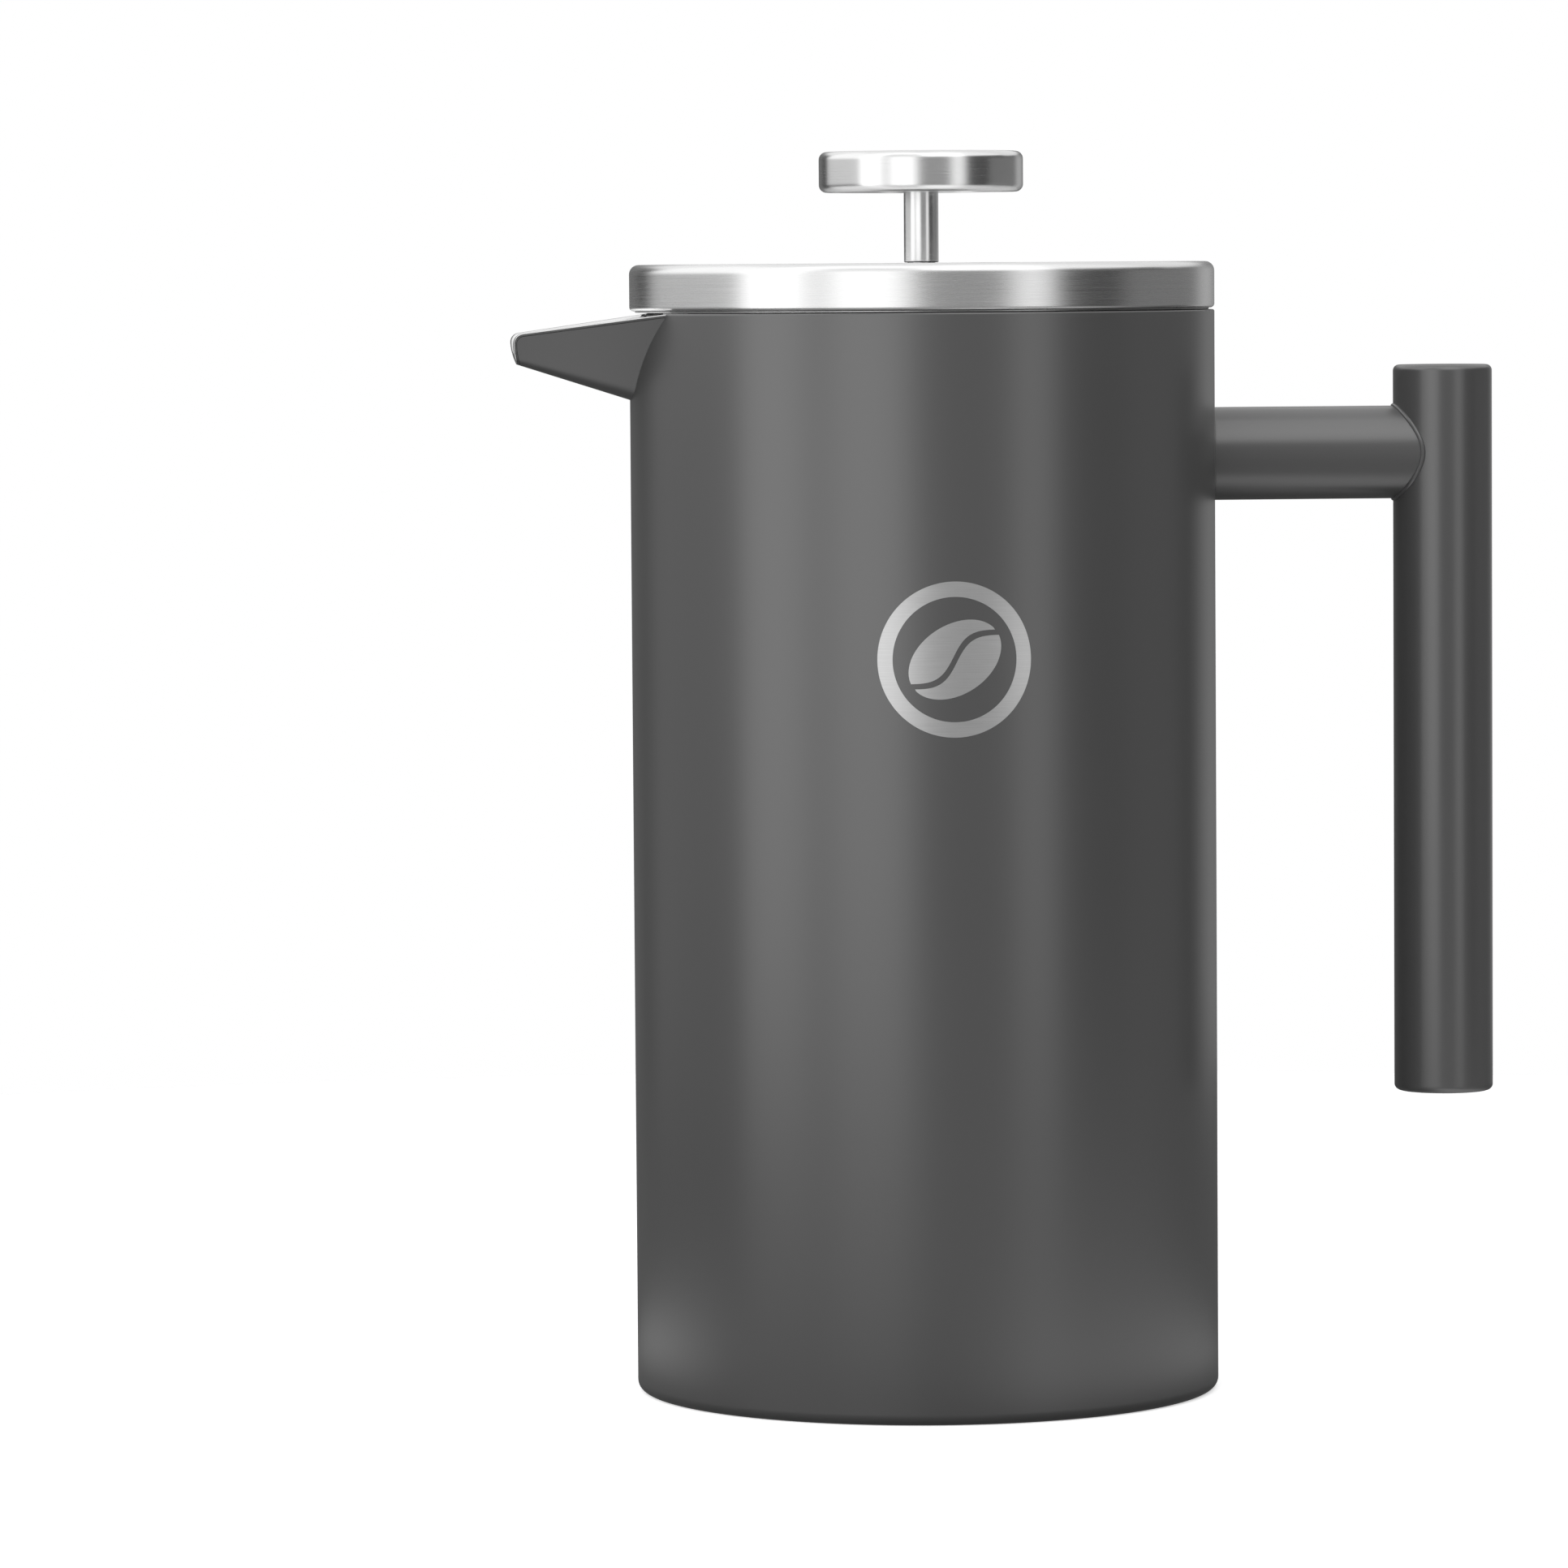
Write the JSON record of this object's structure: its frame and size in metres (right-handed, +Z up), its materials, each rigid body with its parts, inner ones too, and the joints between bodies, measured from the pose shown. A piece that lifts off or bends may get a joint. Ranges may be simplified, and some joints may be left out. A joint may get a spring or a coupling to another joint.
{
  "type": "french press",
  "caption": "Double-walled steel coffee press with a V spout, a straight bar handle, a lift-off lid and a knobbed plunger with a mesh filter.",
  "frame": {"origin": "centre of the base on the surface it stands on, on the axis shared by the pot, the lid and the plunger", "axes": "+Z up along the pot's axis, +X towards the handle, -X towards the spout; the emblem faces -Y"},
  "size_m": [0.1793, 0.106, 0.225],
  "materials": {
    "graphite_paint": "smooth satin powder coat, neutral mid-dark grey",
    "brushed_steel": "bright stainless steel, finely brushed round the axis",
    "satin_steel": "satin stainless steel",
    "screen_steel": "woven fine stainless mesh",
    "spring_steel": "bright drawn wire",
    "black_nylon": "smooth moulded black nylon"
  },
  "bodies": {
    "pot": {"outer_shell": "graphite_paint", "inner_vessel": "satin_steel", "base_plate": "satin_steel", "spout_shell": "graphite_paint", "spout_liner": "brushed_steel", "handle_arm": "graphite_paint", "handle_bar": "graphite_paint", "handle_cap_top": "graphite_paint", "handle_cap_bottom": "graphite_paint"},
    "lid_seat": {"guide_washer": "satin_steel"},
    "lid": {"lid_cap": "brushed_steel", "lid_liner": "satin_steel", "rod_guide": "black_nylon", "guide_nut": "satin_steel"},
    "plunger": {"knob_shell": "brushed_steel", "knob_base": "brushed_steel", "knob_insert": "satin_steel", "knob_neck": "brushed_steel", "plunger_rod": "brushed_steel", "filter_collar": "satin_steel", "spring_plate": "satin_steel", "edge_spring": "spring_steel", "screen_upper": "screen_steel", "screen_lower": "screen_steel", "cross_plate": "satin_steel", "hub_nut": "satin_steel"}
  },
  "joints": [
    {"name": "lid_lift", "type": "slide", "parent": "pot", "child": "lid_seat", "axis": [0, 0, 1], "range_m": [0, 0.21]},
    {"name": "lid_turn", "type": "hinge", "parent": "lid_seat", "child": "lid", "pos_m": [0, 0, 0.196], "axis": [0, 0, 1], "continuous": true},
    {"name": "plunger_press", "type": "slide", "parent": "lid", "child": "plunger", "axis": [0, 0, 1], "range_m": [0, 0.163]}
  ]
}
